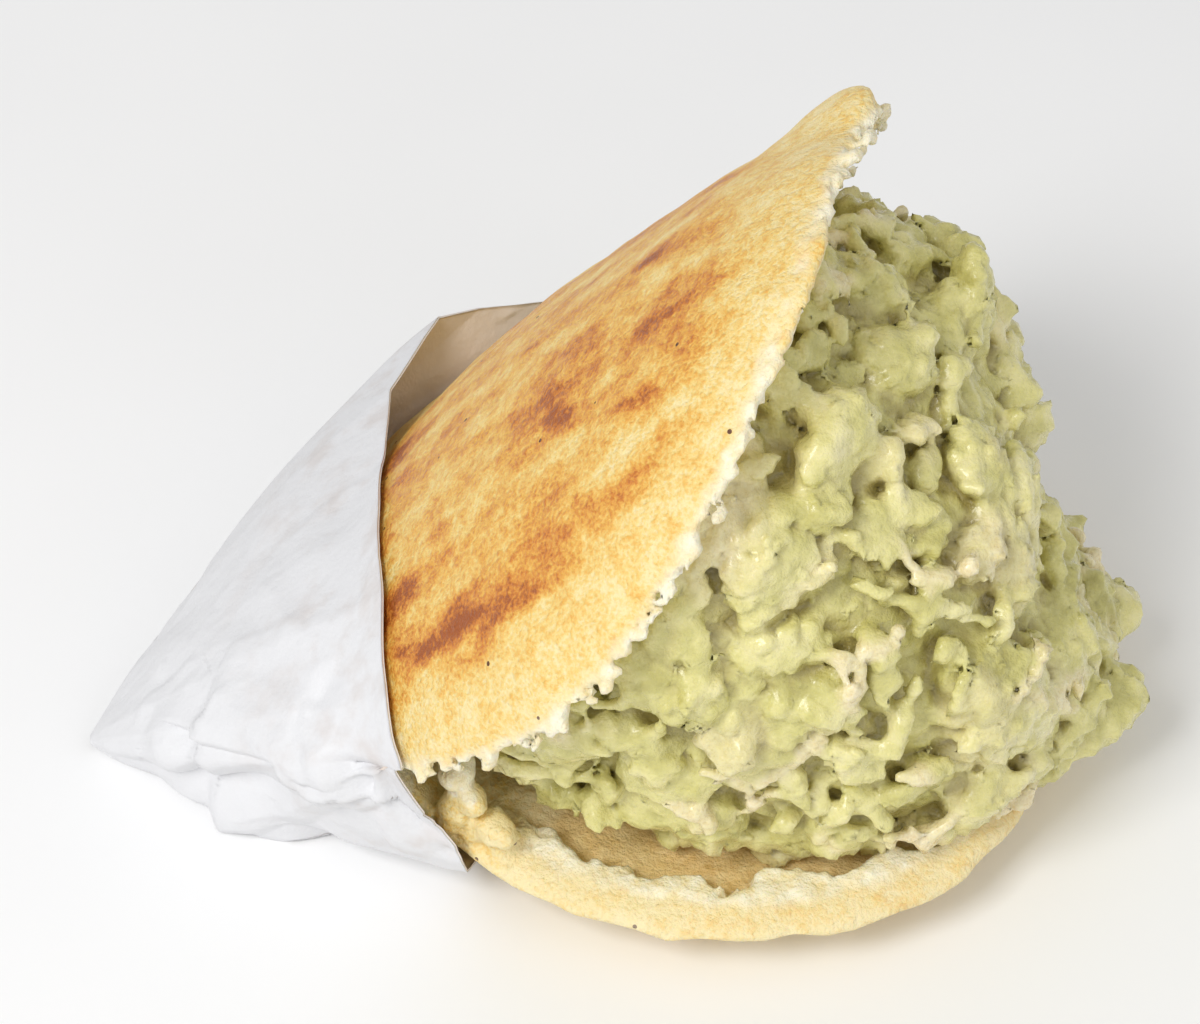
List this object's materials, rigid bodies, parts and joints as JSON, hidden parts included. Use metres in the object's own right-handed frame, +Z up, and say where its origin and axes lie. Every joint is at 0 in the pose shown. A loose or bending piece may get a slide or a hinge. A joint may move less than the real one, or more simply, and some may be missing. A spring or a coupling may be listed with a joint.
{
  "type": "stuffed arepa corn cake in a paper bag",
  "caption": "Split maize cake opened like a clam and filled with a heap of avocado and chicken salad, its hinge end held in the folded corner of a white paper bag.",
  "frame": {"origin": "on the table, under the middle of the object's box", "axes": "+X from the bag's tip towards the open mouth of the cake, +Y to the far side, +Z up"},
  "size_m": [0.1444, 0.1093, 0.1035],
  "materials": {
    "maize_crust": "matte",
    "avocado_salad": "satin",
    "white_paper": "matte"
  },
  "bodies": {
    "root": {"arepa_bread": "maize_crust", "salad_filling": "avocado_salad", "paper_bag": "white_paper"}
  },
  "joints": []
}
